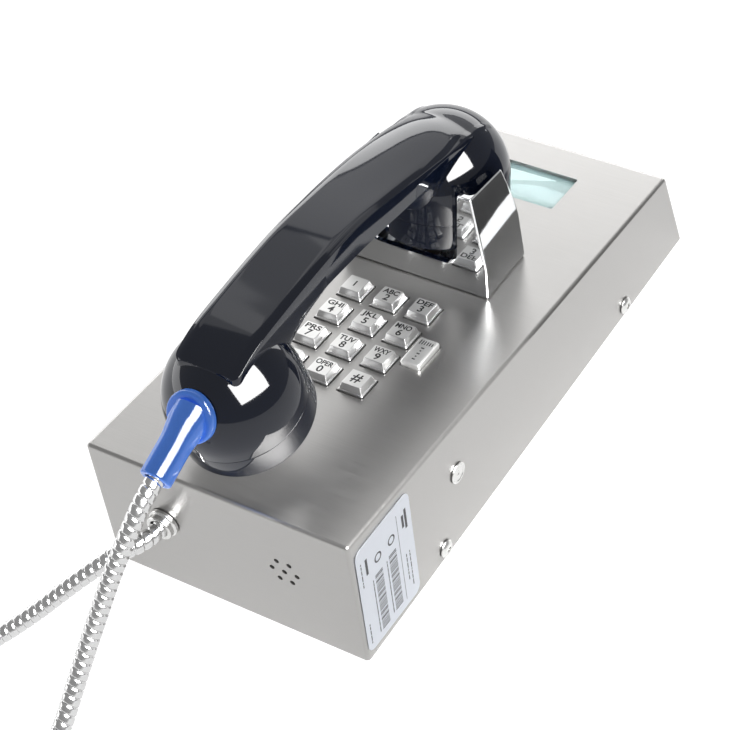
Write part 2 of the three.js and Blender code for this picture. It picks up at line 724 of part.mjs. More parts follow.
function handsetBoot() {
  const { centre, outward, seat, along } = bootFrames();
  const flange = aim(
    turned([
      [0, BOOT_FLANGE.back],
      [BOOT_FLANGE.radius, BOOT_FLANGE.back],
      [BOOT_FLANGE.radius, BOOT_FLANGE.front - 0.9],
      [BOOT_FLANGE.radius - 0.9, BOOT_FLANGE.front],
      [0, BOOT_FLANGE.front],
    ], 36),
    outward,
    seat,
  );
  const sleeve = aim(
    turned([
      [0, -3],
      [BOOT_SLEEVE.rootRadius, -3],
      [BOOT_SLEEVE.rootRadius, 3],
      [BOOT_SLEEVE.radius, 12],
      [BOOT_SLEEVE.radius, BOOT_SLEEVE.length - 1],
      [BOOT_SLEEVE.radius - 0.8, BOOT_SLEEVE.length],
      [0, BOOT_SLEEVE.length],
    ], 32),
    along,
    seat,
  );
  const seatSphere = new THREE.SphereGeometry(MOUTH.domeRadius + GAP, 48, 36)
    .translate(centre.x, centre.y, centre.z);
  const gripClearance = box(
    [FITTING_X - GRIP_WIDTH / 2 - 1, GRIP_NEAR_S - GAP, 30],
    [FITTING_X + GRIP_WIDTH / 2 + 1, 30, 70],
  );
  place(face, 'handset_boot', cut(join(flange, sleeve), seatSphere, gripClearance), BLUE_RUBBER);
}

// ---------------------------------------------------------------- armoured cord

// From inside the gland, down to the floor, round a loop and up to the boot's end. Case frame.
const CORD_ROUTE = [
  [-30, -137, 39.3],
  [-30, -147, 39.3],
  [-32.5, -154, 38.9],
  [-38, -161, 37.5],
  [-50, -175.5, 30],
  [-66, -193.5, 17],
  [-80, -208, 8],
  [-94, -222, 4.4],
  [-108, -240, 4.2],
  [-115, -262, 4.2],
  [-110, -285, 4.2],
  [-94, -303, 4.2],
  [-71, -310, 4.2],
  [-48, -305, 4.2],
  [-30, -290, 4.6],
  [-19.5, -268, 7.2],
  [-16.5, -251, 14],
  [-15.2, -237, 23],
  [-14.6, -225, 34.8],
  [-12.9, -214.3, 48.5],
  [-10.2, -204.5, 63],
  [-7.2, -194.5, 78],
  [-3.4, -183.6, 93],
  [-1.9, -176.2, 100.3],
];

function cord() {
  const { seat, along } = bootFrames();
  const bootEnd = seat.clone().addScaledVector(along, BOOT_SLEEVE.length + 3 * GAP);
  const points = CORD_ROUTE.map(([x, y, z]) => new THREE.Vector3(x, y, z));
  points.push(bootEnd.applyMatrix4(faceMatrix()));
  const path = new THREE.CatmullRomCurve3(points, false, 'centripetal');
  const section = new THREE.Shape();
  for (let k = 0; k < CORD_SIDES; k += 1) {
    const angle = (k / CORD_SIDES) * 2 * Math.PI;
    const x = CORD_RADIUS * Math.cos(angle);
    const y = CORD_RADIUS * Math.sin(angle);
    if (k === 0) {
      section.moveTo(x, y);
    } else {
      section.lineTo(x, y);
    }
  }
  section.closePath();
  const options = { steps: CORD_STEPS, bevelEnabled: false, extrudePath: path };
  place(root, 'cord', new THREE.ExtrudeGeometry(section, options), STEEL);
}

// ---------------------------------------------------------------- assembly

frontCover();
backPlate();
coverScrews();
sidePlug();
label();
cradle();
hookSwitch();
keys();
keypadInside();
display();
electronics();
gland();
handsetShell();
cap('mouth_cap', MOUTH);
cap('ear_cap', EAR);
capsule('transmitter_capsule', MOUTH);
capsule('receiver_capsule', EAR);
handsetBoot();
cord();

export default root;
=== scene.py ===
import math

import bmesh
import bpy
import numpy as np
from mathutils import Matrix, Vector


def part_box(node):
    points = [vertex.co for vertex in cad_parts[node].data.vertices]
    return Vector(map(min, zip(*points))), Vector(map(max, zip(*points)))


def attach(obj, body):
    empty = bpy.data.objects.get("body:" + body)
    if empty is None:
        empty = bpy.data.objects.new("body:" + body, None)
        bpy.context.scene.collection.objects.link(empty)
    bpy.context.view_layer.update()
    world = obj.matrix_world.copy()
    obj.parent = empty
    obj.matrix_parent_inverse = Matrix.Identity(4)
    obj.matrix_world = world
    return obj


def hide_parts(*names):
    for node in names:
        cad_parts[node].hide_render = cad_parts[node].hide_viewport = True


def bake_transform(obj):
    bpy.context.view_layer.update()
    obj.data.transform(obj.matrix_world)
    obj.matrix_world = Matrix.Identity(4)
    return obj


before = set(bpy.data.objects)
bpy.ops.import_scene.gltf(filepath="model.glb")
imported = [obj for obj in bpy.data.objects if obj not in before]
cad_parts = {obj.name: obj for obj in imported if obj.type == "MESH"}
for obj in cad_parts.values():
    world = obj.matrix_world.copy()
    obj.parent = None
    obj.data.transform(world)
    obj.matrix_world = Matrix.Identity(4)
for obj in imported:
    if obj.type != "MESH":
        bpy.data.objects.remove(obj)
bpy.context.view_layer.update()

# A compact stainless-steel wall payphone lying on its back plate. Shapes are given in millimetres, in the
# case frame or in the face frame (x across, y along the sloping face from its near edge, z out of the face),
# and put_together() turns them into metres in the shared frame.

MM = 0.001

# ---------------------------------------------------------------- driving dimensions

CASE_LOW, CASE_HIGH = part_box("front_cover")
NEAR_Y = CASE_LOW.y / MM
FAR_Y = CASE_HIGH.y / MM
HALF_WIDTH = CASE_HIGH.x / MM
NEAR_HEIGHT = CASE_HIGH.z / MM
FAR_HEIGHT = 46.6
FAR_SETBACK = 12.4
SHEET = 1.5
BEND_RADIUS = 1.8
FACE_SLOPE = math.atan2(NEAR_HEIGHT - FAR_HEIGHT, FAR_Y - NEAR_Y - FAR_SETBACK)
FITTING_X = -1.2
GAP = 0.3

KEY_PITCH_X = 17.2
KEY_PITCH_Y = 17.55
KEY_FIRST_ROW = 134.9
KEY_HOLE = 13.2
KEY_TOP_H = 4.0
VOLUME_KEY = {"x": 29.3, "y": 110.6, "width": 9.4, "length": 17.2, "top": 2.7}
VOLUME_KEY_PLAY = 0.7
DISPLAY = {"y": 236.9, "width": 58.0, "length": 24.8}
HOOK_SLOT = {"y": 175, "width": 16, "length": 27.2}
INK = 0.02  # how far printed and filled marks stand up
LETTER_WEIGHT = 0.24

SCREW_Z = 5.3
SCREW_YS = {"near": -78.0, "far": 83.0}
SIDE_PLUG = {"y": -62.6, "z": 37.0}
LABEL = {"y": -118.4, "z": 33.2, "width": 39.5, "height": 59.5, "tilt": 0.03}
GLAND = {"x": -30.0, "z": 39.3}
RINGER = {"x": 29.2, "z": 38.2, "ring": 6.05, "hole": 1.2}
SCREW_HOLE = 2.2
PLUG_HOLE = 3.4
GLAND_HOLE = 5.4

MOUTH = {"y": 30.6, "z": 18.8, "tilt": 21.5, "radius": 29.0, "dome": 29.2, "rise": 17.0}
EAR = {"y": 182.2, "z": 15.4, "tilt": -4.0, "radius": 28.7, "dome": 29.4, "rise": 22.2}
CAP_HEIGHT = 13.0
CAP_WALL = 2.4
CAPSULE_POCKET = 24.5
GRIP_HALF = 15.3
GRIP_EAR_HALF = 17.2
GRIP_NEAR_Y = 8.5
GRIP_FAR_Y = 198.0
GRIP_END_ROUNDING = 3.5
GRIP_EDGE_ROLL = 3.6  # how far in from the back's edge its roll-off starts
GRIP_EDGE_DROP = 1.1  # and how far it falls
EAR_TOP_Y = 183.75  # where the ear dome's top is
EAR_TOP_H = 66.95
BAND_EDGE_H = 60.3  # the lower edge of the flat band down each side of the grip
BOOT_RISE = math.radians(19)
BOOT_DROOP = math.radians(24)
BOOT_LENGTH = 28.7

CORD_RADIUS = 3.75
CREST_RADIUS = 3.92  # of the armour's bands, a little over its mean radius
CORD_PITCH = 3.8
CORD_STEP = 0.3
CORD_ROUTE = [
    (-30, -137, 39.3), (-30, -147, 39.3), (-32.5, -154, 38.9), (-38, -161, 37.5),
    (-50, -175.5, 30), (-66, -193.5, 17), (-80, -208, 8), (-94, -222, 4.4),
    (-108, -240, 4.2), (-115, -262, 4.2), (-110, -285, 4.2), (-94, -303, 4.2),
    (-71, -310, 4.2), (-48, -305, 4.2), (-30, -290, 4.6), (-19.5, -268, 7.2),
    (-16.5, -251, 14), (-15.2, -237, 23), (-14.6, -225, 34.8), (-12.9, -214.3, 48.5),
    (-10.2, -204.5, 63), (-7.2, -194.5, 78), (-3.4, -183.6, 93), (-1.9, -176.2, 100.3),
]

FACE = Matrix.Translation((0, NEAR_Y, NEAR_HEIGHT)) @ Matrix.Rotation(-FACE_SLOPE, 4, "X")
TOWARDS_NEAR = Matrix.Rotation(math.pi / 2, 4, "X")
TOWARDS_RIGHT = Matrix.Rotation(math.pi / 2, 4, "Y")
TOWARDS_LEFT = Matrix.Rotation(-math.pi / 2, 4, "Y")
scene = bpy.context.scene


# ---------------------------------------------------------------- camera

def camera():
    """The camera, high up in front of the case's right near corner."""
    data = bpy.data.cameras.new("camera")
    data.lens = 115.2
    data.sensor_width = 36.0
    data.shift_x = 0.0007
    data.shift_y = 0.0052
    obj = bpy.data.objects.new("camera", data)
    scene.collection.objects.link(obj)
    right = Vector((0.84157, 0.52652, -0.12055))
    up = Vector((-0.30373, 0.64585, 0.70045))
    back = right.cross(up)
    turn = Matrix((right, up, back)).transposed().to_4x4()
    obj.matrix_world = Matrix.Translation(Vector((449.1, -587.6, 749.1)) * MM) @ turn
    scene.camera = obj


# ---------------------------------------------------------------- mesh helpers

def mesh_object(name, points, faces):
    mesh = bpy.data.meshes.new(name)
    mesh.from_pydata([tuple(p) for p in points], [], faces)
    mesh.validate()
    obj = bpy.data.objects.new(name, mesh)
    scene.collection.objects.link(obj)
    return recalculated(obj)


def recalculated(obj):
    """Turns every face outwards."""
    bm = bmesh.new()
    bm.from_mesh(obj.data)
    bmesh.ops.recalc_face_normals(bm, faces=bm.faces)
    bm.to_mesh(obj.data)
    bm.free()
    return obj


def moved(obj, matrix):
    obj.data.transform(matrix)
    return obj


def applied(obj):
    """Bakes the object's modifiers into its mesh."""
    depsgraph = bpy.context.evaluated_depsgraph_get()
    depsgraph.update()
    mesh = bpy.data.meshes.new_from_object(obj.evaluated_get(depsgraph))
    obj.modifiers.clear()
    obj.data = mesh
    return obj


def boolean(obj, tools, operation):
    for tool in tools:
        step = obj.modifiers.new("boolean", "BOOLEAN")
        step.operation = operation
        step.object = tool
        step.solver = "EXACT"
    applied(obj)
    for tool in tools:
        bpy.data.objects.remove(tool)
    return obj


def cut(obj, *tools):
    return boolean(obj, tools, "DIFFERENCE")


def united(obj, *others):
    return boolean(obj, others, "UNION")


def joined(name, parts):
    """One object that holds several separate pieces, with their materials."""
    bm = bmesh.new()
    looks = []
    for part in parts:
        start = len(bm.faces)
        bm.from_mesh(part.data)
        bm.faces.ensure_lookup_table()
        offset = len(looks)
        looks.extend(part.data.materials)
        for face in list(bm.faces)[start:]:
            face.material_index += offset
    mesh = bpy.data.meshes.new(name)
    bm.to_mesh(mesh)
    bm.free()
    for look in looks:
        mesh.materials.append(look)
    for part in parts:
        bpy.data.objects.remove(part)
    obj = bpy.data.objects.new(name, mesh)
    scene.collection.objects.link(obj)
    return obj


def bevelled(obj, width, segments=3, angle=30):
    step = obj.modifiers.new("bevel", "BEVEL")
    step.width = width
    step.segments = segments
    step.limit_method = "ANGLE"
    step.angle_limit = math.radians(angle)
    step.harden_normals = False
    return applied(obj)


def smoothed(obj, angle=32, weighted=False):
    obj.data.shade_smooth()
    obj.data.set_sharp_from_angle(angle=math.radians(angle))
    if weighted:
        step = obj.modifiers.new("normals", "WEIGHTED_NORMAL")
        step.keep_sharp = True
        applied(obj)
    return obj


def filleted(corners, steps=5, closed=False):
    """A line through (x, y, radius) corners, each rounded with that radius."""
    count = len(corners)
    line = []
    for k, (x, y, radius) in enumerate(corners):
        corner = Vector((x, y))
        ends = not closed and k in (0, count - 1)
        if radius <= 0 or ends:
            line.append((x, y))
            continue
        before = (Vector(corners[k - 1][:2]) - corner).normalized()
        after = (Vector(corners[(k + 1) % count][:2]) - corner).normalized()
        half = before.angle(after) / 2
        reach = radius / math.tan(half)
        centre = corner + (before + after).normalized() * (radius / math.sin(half))
        first = corner + before * reach - centre
        last = corner + after * reach - centre
        sweep = first.angle_signed(last)
        for j in range(steps + 1):
            spoke = first.copy()
            spoke.rotate(Matrix.Rotation(-sweep * j / steps, 2))
            line.append(tuple(centre + spoke))
    return line


def turned(name, profile, sides=96):
    """A solid of revolution about Z from (radius, z) points. Points on the axis become poles."""
    points = []
    rings = []
    for radius, z in profile:
        if radius < 1e-6:
            rings.append([len(points)])
            points.append((0, 0, z))
            continue
        rings.append(range(len(points), len(points) + sides))
        for k in range(sides):
            angle = 2 * math.pi * k / sides
            points.append((radius * math.cos(angle), radius * math.sin(angle), z))
    pairs = list(zip(rings, rings[1:]))
    if profile[0][0] > 1e-6:
        pairs.append((rings[-1], rings[0]))
    faces = []
    for lower, upper in pairs:
        for k in range(sides):
            following = (k + 1) % sides
            if len(lower) == 1 and len(upper) == 1:
                continue
            if len(lower) == 1:
                faces.append((lower[0], upper[following], upper[k]))
            elif len(upper) == 1:
                faces.append((lower[k], lower[following], upper[0]))
            else:
                faces.append((lower[k], lower[following], upper[following], upper[k]))
    return mesh_object(name, points, faces)


def rod(name, radius, bottom, top, sides=48):
    return turned(name, [(0, bottom), (radius, bottom), (radius, top), (0, top)], sides)


def rounded_rectangle(half_x, half_y, radius, steps=4):
    corners = [(half_x, -half_y), (half_x, half_y), (-half_x, half_y), (-half_x, -half_y)]
    return filleted([(x, y, radius) for x, y in corners], steps, closed=True)


def stacked(name, layers):
    """Layers of (half width, half length, corner radius, height), joined from the lowest to the highest."""
    points = []
    faces = []
    sides = 0
    for half_x, half_y, radius, z in layers:
        outline = rounded_rectangle(half_x, half_y, radius)
        sides = len(outline)
        points.extend((x, y, z) for x, y in outline)
    for layer in range(len(layers) - 1):
        for k in range(sides):
            here = layer * sides
            following = (k + 1) % sides
            faces.append((here + k, here + following, here + sides + following, here + sides + k))
    faces.append(range(sides))
    faces.append(range((len(layers) - 1) * sides, len(layers) * sides))
    return mesh_object(name, points, faces)


def slab(name, width, length, radius, bottom, top, x=0.0, y=0.0, edge=0.0):
    layers = [(width / 2, length / 2, radius, bottom)]
    if edge > 0:
        layers.append((width / 2, length / 2, radius, top - edge))
        layers.append((width / 2 - edge * 0.3, length / 2 - edge * 0.3, radius, top - edge * 0.3))
    layers.append((width / 2 - edge, length / 2 - edge, radius, top))
    return moved(stacked(name, layers), Matrix.Translation((x, y, 0)))


def across(name, outline, half):
    """A side-view outline in (y, z), extruded across x."""
    count = len(outline)
    points = [(side * half, y, z) for side in (-1, 1) for y, z in outline]
    faces = [range(count), range(count, 2 * count)]
    for k in range(count):
        following = (k + 1) % count
        faces.append((k, following, count + following, count + k))
    return mesh_object(name, points, faces)


def catmull(points, steps):
    """A centripetal curve through the points."""
    p = [Vector(q) for q in points]
    p = [p[0] * 2 - p[1]] + p + [p[-1] * 2 - p[-2]]
    line = []
    for k in range(1, len(p) - 2):
        a, b, c, d = p[k - 1:k + 3]
        t1 = (b - a).length ** 0.5
        t2 = t1 + (c - b).length ** 0.5
        t3 = t2 + (d - c).length ** 0.5
        for j in range(steps):
            t = t1 + (t2 - t1) * j / steps
            ab = a.lerp(b, t / t1)
            bc = b.lerp(c, (t - t1) / (t2 - t1))
            cd = c.lerp(d, (t - t2) / (t3 - t2))
            abc = ab.lerp(bc, t / t2)
            bcd = bc.lerp(cd, (t - t1) / (t3 - t1))
            line.append(abc.lerp(bcd, (t - t1) / (t2 - t1)))
    line.append(p[-2])
    return line


def put_together(obj, body, look, slot, *nodes, frame_matrix=None):
    """Gives a piece its material, brings it into the shared frame in metres and lets it stand for CAD nodes."""
    if look is not None:
        obj.data.materials.clear()
        obj.data.materials.append(look)
    if frame_matrix is not None:
        obj.data.transform(frame_matrix)
    obj.data.transform(Matrix.Scale(MM, 4))
    if nodes:
        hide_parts(*nodes)
    if body is not None:
        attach(obj, body)
    return obj


# ---------------------------------------------------------------- materials

def surface(name, colour, roughness, metallic=0.0, variation=0.06, grain=0.0, scale=400.0, stretch=(1, 1, 1),
            coat=0.0, tint=0.04, transmission=0.0, specular=0.5, emission=0.0):
    """A principled material whose colour, roughness and fine relief vary with procedural noise."""
    look = bpy.data.materials.new(name)
    look.use_nodes = True
    nodes = look.node_tree.nodes
    links = look.node_tree.links
    shader = nodes["Principled BSDF"]
    shader.inputs["Metallic"].default_value = metallic
    shader.inputs["Coat Weight"].default_value = coat
    shader.inputs["Coat Roughness"].default_value = 0.03
    shader.inputs["Transmission Weight"].default_value = transmission
    shader.inputs["Specular IOR Level"].default_value = specular
    if emission > 0:
        shader.inputs["Emission Color"].default_value = (*colour, 1)
        shader.inputs["Emission Strength"].default_value = emission
    place = nodes.new("ShaderNodeTexCoord")
    mapping = nodes.new("ShaderNodeMapping")
    mapping.inputs["Scale"].default_value = stretch
    noise = nodes.new("ShaderNodeTexNoise")
    noise.inputs["Scale"].default_value = scale
    noise.inputs["Detail"].default_value = 4.0
    links.new(place.outputs["Object"], mapping.inputs["Vector"])
    links.new(mapping.outputs["Vector"], noise.inputs["Vector"])
    spread = nodes.new("ShaderNodeMapRange")
    spread.inputs["To Min"].default_value = max(0.0, roughness - variation)
    spread.inputs["To Max"].default_value = roughness + variation
    links.new(noise.outputs["Fac"], spread.inputs["Value"])
    links.new(spread.outputs["Result"], shader.inputs["Roughness"])
    shade = nodes.new("ShaderNodeMix")
    shade.data_type = "RGBA"
    shade.inputs["A"].default_value = (*[max(0.0, c * (1 - tint)) for c in colour], 1)
    shade.inputs["B"].default_value = (*[min(1.0, c * (1 + tint)) for c in colour], 1)
    links.new(noise.outputs["Fac"], shade.inputs["Factor"])
    links.new(shade.outputs["Result"], shader.inputs["Base Color"])
    if grain > 0:
        relief = nodes.new("ShaderNodeBump")
        relief.inputs["Strength"].default_value = grain
        relief.inputs["Distance"].default_value = 0.0002
        links.new(noise.outputs["Fac"], relief.inputs["Height"])
        links.new(relief.outputs["Normal"], shader.inputs["Normal"])
    return look


LOOKS = {
    "steel": surface("case_satin_steel", (0.4, 0.394, 0.386), 0.31, 1.0, 0.05, 0.12, 1400, (0.04, 1, 1)),
    "chrome": surface("cradle_chrome", (0.86, 0.87, 0.88), 0.045, 1.0, 0.02, 0.0, 60),
    "screw": surface("screw_zinc", (0.66, 0.66, 0.65), 0.22, 1.0, 0.05, 0.03, 700),
    "spring": surface("spring_steel", (0.42, 0.43, 0.45), 0.28, 1.0, 0.06, 0.05, 500, (1, 0.1, 1)),
    "key": surface("key_plated_side", (0.6, 0.6, 0.6), 0.3, 1.0, 0.04, 0.02, 600),
    "key_top": surface("key_brushed_top", (0.72, 0.72, 0.71), 0.42, 0.8, 0.06, 0.05, 1500, (1, 0.05, 1)),
    "legend": surface("legend_black_fill", (0.012, 0.012, 0.014), 0.5, 0.0, 0.05, 0.05, 900),
    "cord": surface("armoured_cord_steel", (0.64, 0.64, 0.64), 0.2, 1.0, 0.05, 0.04, 900),
    "black": surface("handset_black_gloss", (0.006, 0.010, 0.024), 0.06, 0.0, 0.015, 0.0, 35, tint=0.15),
    "boot": surface("boot_blue_rubber", (0.09, 0.28, 0.98), 0.1, 0.0, 0.04, 0.01, 300, tint=0.06),
    "plastic": surface("black_plastic", (0.012, 0.012, 0.013), 0.5, 0.0, 0.08, 0.08, 1200),
    "rubber": surface("grey_rubber", (0.13, 0.14, 0.15), 0.75, 0.0, 0.06, 0.08, 900),
    "board": surface("green_board", (0.01, 0.085, 0.03), 0.42, 0.0, 0.08, 0.04, 700),
    "window": surface("clear_window", (0.93, 0.97, 0.97), 0.05, 0.0, 0.02, 0.0, 80, transmission=1.0),
    "display": surface("display_grey", (0.33, 0.44, 0.44), 0.5, 0.0, 0.05, 0.02, 600),
    "label": surface("label_film", (0.86, 0.90, 0.98), 0.32, 0.0, 0.05, 0.02, 500, tint=0.02),
    "ink": surface("label_ink", (0.02, 0.02, 0.03), 0.4, 0.0, 0.04, 0.0, 900),
}


# ---------------------------------------------------------------- case

def case_block(name, inset, radius, foot):
    """The case's solid outline drawn in by an inset, with its folds rounded."""
    lean = math.atan2(FAR_SETBACK, FAR_HEIGHT)
    near = NEAR_Y + inset
    drop = inset / math.cos(FACE_SLOPE)
    far_foot = FAR_Y - foot * math.tan(lean) - inset / math.cos(lean)
    far_top = FAR_Y - FAR_SETBACK - inset
    top_far = NEAR_HEIGHT - (far_top - NEAR_Y) * math.tan(FACE_SLOPE) - drop
    top_near = NEAR_HEIGHT - inset * math.tan(FACE_SLOPE) - drop
    outline = [(near, foot), (far_foot, foot), (far_top, top_far), (near, top_near)]
    block = across(name, outline, HALF_WIDTH - inset)
    bm = bmesh.new()
    bm.from_mesh(block.data)
    folds = [e for e in bm.edges if max(v.co.z for v in e.verts) > foot + 1]
    bmesh.ops.bevel(bm, geom=folds, offset=radius, segments=5, profile=0.5, affect="EDGES")
    bm.to_mesh(block.data)
    bm.free()
    return block


def key_places():
    """Name, x and y of each of the twelve keys, row by row from the far one."""
    names = [["key_1", "key_2", "key_3"], ["key_4", "key_5", "key_6"],
             ["key_7", "key_8", "key_9"], ["key_star", "key_0", "key_hash"]]
    for row, row_names in enumerate(names):
        for column, name in enumerate(row_names):
            x = FITTING_X + (column - 1) * KEY_PITCH_X
            yield name, x, KEY_FIRST_ROW - row * KEY_PITCH_Y


def face_openings():
    """Tools for the openings in the sloping face: keys, volume key, display and hook slot."""
    openings = [slab("hole", KEY_HOLE, KEY_HOLE, 0.8, -4, 4, x, y) for _, x, y in key_places()]
    width = VOLUME_KEY["width"] + VOLUME_KEY_PLAY
    length = VOLUME_KEY["length"] + VOLUME_KEY_PLAY
    openings.append(slab("hole", width, length, 0.8, -4, 4, VOLUME_KEY["x"], VOLUME_KEY["y"]))
    openings.append(slab("hole", DISPLAY["width"], DISPLAY["length"], 0.8, -4, 4, 0, DISPLAY["y"]))
    width = HOOK_SLOT["width"]
    length = HOOK_SLOT["length"]
    openings.append(slab("hole", width, length, 0.5, -4, 4, FITTING_X, HOOK_SLOT["y"]))
    return [moved(opening, FACE) for opening in openings]


def wall_hole(radius, turn, x, y, z, sides=48):
    """A tool for a round hole through one of the case's walls."""
    hole = moved(rod("hole", radius, -3, 3, sides), turn)
    return moved(hole, Matrix.Translation((x, y, z)))


def wall_openings():
    """Tools for the holes in the walls: ringer, gland, cover screws and side plug."""
    spots = [(0, 0)]
    for k in range(6):
        angle = k * math.pi / 3
        spots.append((RINGER["ring"] * math.cos(angle), RINGER["ring"] * math.sin(angle)))
    openings = []
    for dx, dz in spots:
        x = RINGER["x"] + dx
        openings.append(wall_hole(RINGER["hole"], TOWARDS_NEAR, x, NEAR_Y, RINGER["z"] + dz, 24))
    openings.append(wall_hole(GLAND_HOLE, TOWARDS_NEAR, GLAND["x"], NEAR_Y, GLAND["z"]))
    for side in (-1, 1):
        for y in SCREW_YS.values():
            openings.append(wall_hole(SCREW_HOLE, TOWARDS_RIGHT, side * HALF_WIDTH, y, SCREW_Z))
    openings.append(wall_hole(PLUG_HOLE, TOWARDS_RIGHT, HALF_WIDTH, SIDE_PLUG["y"], SIDE_PLUG["z"]))
    return openings


def front_cover():
    """The folded steel case: a wedge, hollow and open below."""
    cover = cut(case_block("front_cover_sheet", 0, BEND_RADIUS, 0), case_block("hollow", SHEET, 0.3, -1))
    openings = face_openings() + wall_openings()
    smoothed(cut(cover, joined("openings", openings)), 32, weighted=True)
    put_together(cover, "case", LOOKS["steel"], "case_steel", "front_cover")


def cover_screws():
    """Button heads with a six-sided socket and a security pin in it."""
    head = filleted([(0, -5.2, 0), (1.9, -5.2, 0.3), (1.9, 0.3, 0), (4.1, 0.3, 0.1), (4.1, 0.75, 0.3),
                     (2.6, 1.9, 1.6), (0, 1.9, 0)])
    for side_name, side, turn in (("left", -1, TOWARDS_LEFT), ("right", 1, TOWARDS_RIGHT)):
        for end, y in SCREW_YS.items():
            name = f"cover_screw_{side_name}_{end}"
            screw = cut(turned(f"{name}_head", head, 64), rod("socket", 1.45, 0.7, 4, 6))
            pin = turned("pin", filleted([(0, 0.65, 0), (0.55, 0.65, 0), (0.55, 1.6, 0.2), (0, 1.6, 0)]), 24)
            screw = united(screw, pin)
            moved(moved(screw, turn), Matrix.Translation((side * HALF_WIDTH, y, SCREW_Z)))
            put_together(smoothed(screw), "case", LOOKS["screw"], "fastener_steel", name)


def side_plug():
    """A round plug with a raised rim and a button in its middle."""
    profile = filleted([(0, -5, 0), (3.1, -5, 0.4), (3.1, 0.3, 0), (4.9, 0.3, 0.1), (4.9, 0.9, 0.3),
                        (4.1, 0.9, 0.2), (3.7, 0.55, 0.2), (1.2, 0.55, 0.2), (0.9, 0.3, 0.1), (0, 0.3, 0)])
    plug = moved(turned("side_plug_turned", profile), TOWARDS_RIGHT)
    moved(plug, Matrix.Translation((HALF_WIDTH, SIDE_PLUG["y"], SIDE_PLUG["z"])))
    put_together(smoothed(plug), "case", LOOKS["screw"], "fastener_steel", "side_plug")


def bar_code(name, x, y, length, height, z):
    """Upright bars of varying width along x."""
    bars = []
    position = 0.0
    k = 0
    while position < length:
        width = 0.22 + 0.2 * ((k * 7) % 3)
        bars.append(slab(name, width, height, 0.02, z, z + INK, x - length / 2 + position, y))
        position += width + 0.26 + 0.17 * ((k * 5) % 4)
        k += 1
    return bars


def text_lines(name, x, y, length, z, rows, pitch):
    """Rows of short dashes in place of printed words."""
    dashes = []
    for row in range(rows):
        position = 0.0
        k = row
        while position < length * (0.95 - 0.17 * (row % 3)):
            width = 1.1 + 0.7 * ((k * 5) % 4)
            middle = x + position + width / 2
            dashes.append(slab(name, width, 0.55, 0.05, z, z + INK, middle, y - row * pitch))
            position += width + 0.5
            k += 1
    return dashes


def label():
    """A printed film on the right side. Its drawing is laid out lying flat and reads downwards."""
    width = LABEL["width"]
    height = LABEL["height"]
    top = 0.55
    film = slab("film", height, width, 4, 0.3, top, edge=0.08)
    film.data.materials.append(LOOKS["label"])
    marks = bar_code("code", 8.5, 4.2, 33, 5.4, top)
    marks += bar_code("code", 9.5, -6.2, 33, 5.4, top)
    marks += text_lines("number", -7, -0.1, 32, top, 1, 2)
    marks += text_lines("number", -6, -10.5, 32, top, 1, 2)
    marks += text_lines("text", 2, 15.6, 20, top, 2, 2.4)
    marks += text_lines("text", -22, -17, 14, top, 1, 2)
    marks += text_lines("text", 14, -17, 12, top, 1, 2)
    marks.append(slab("rule", 50, 0.25, 0.05, top, top + INK, 1, 9.6))
    for width, y in ((11, 15.8), (7, 13.6), (9, -13.4)):
        marks.append(slab("block", width, 1.5, 0.2, top, top + INK, -17, y))
    for y in (4.6, -5.4):
        ring = filleted([(1.7, top, 0), (2.5, top, 0), (2.5, top + INK, 0), (1.7, top + INK, 0)])
        marks.append(moved(turned("ring", ring, 32), Matrix.Translation((-15, y, 0))))
    for mark in marks:
        mark.data.materials.append(LOOKS["ink"])
    sheet = joined("label_print", [film] + marks)
    upright = Matrix(((0, 0, 1), (0, 1, 0), (-1, 0, 0))).to_4x4()
    moved(sheet, Matrix.Rotation(-LABEL["tilt"], 4, "X") @ upright)
    moved(sheet, Matrix.Translation((HALF_WIDTH, LABEL["y"], LABEL["z"])))
    put_together(sheet, "case", None, "label_film", "label")


def cord_gland():
    """A turned bush in the near wall, with a flange and a collar round the cord."""
    bore = CORD_RADIUS + 0.4
    profile = filleted([(bore, -14, 0), (5, -14, 0), (5, 0.3, 0), (7, 0.3, 0.2), (7, 1.9, 0.6),
                        (6.1, 2.4, 0.3), (6.1, 4.6, 0.4), (5.6, 5.1, 0.4), (bore + 0.4, 5.1, 0.3),
                        (bore, 4.6, 0.2)])
    gland = moved(turned("cord_gland_turned", profile), TOWARDS_NEAR)
    moved(gland, Matrix.Translation((GLAND["x"], NEAR_Y, GLAND["z"])))
    put_together(smoothed(gland), "case", LOOKS["screw"], "fastener_steel", "cord_gland")


# ---------------------------------------------------------------- cradle

CRADLE_NEAR = 155.4
CRADLE_FAR = 190.6
CRADLE_FLOOR = 3.2
CRADLE_WALL = 2.8
SOCKET_HALF_WIDTH = 30.6
SOCKET_HALF_LENGTH = 22.2


def cradle_block():
    """The casting's outside: the hull of its corners, narrower at the top, leaning at the back."""
    near = CRADLE_NEAR
    far = CRADLE_FAR
    corners = [(37.4, near, 0.3), (35.9, far, 0.3), (37.2, near, 16.5), (35.9, far - 3.4, 24),
               (33.6, far - 4.6, 34.5), (31.2, near, 51.4), (31.2, far - 9, 50.6)]
    mesh = bpy.data.meshes.new("cradle_cast")
    block = bpy.data.objects.new("cradle_cast", mesh)
    scene.collection.objects.link(block)
    bm = bmesh.new()
    for side in (-1, 1):
        for x, y, z in corners:
            bm.verts.new((side * x, y, z))
    hull = bmesh.ops.convex_hull(bm, input=bm.verts)
    bmesh.ops.delete(bm, geom=hull["geom_interior"], context="VERTS")
    bmesh.ops.dissolve_limit(bm, angle_limit=math.radians(2), verts=bm.verts, edges=bm.edges)
    bm.to_mesh(mesh)
    bm.free()
    return bevelled(recalculated(block), 1.1, 4, 25)


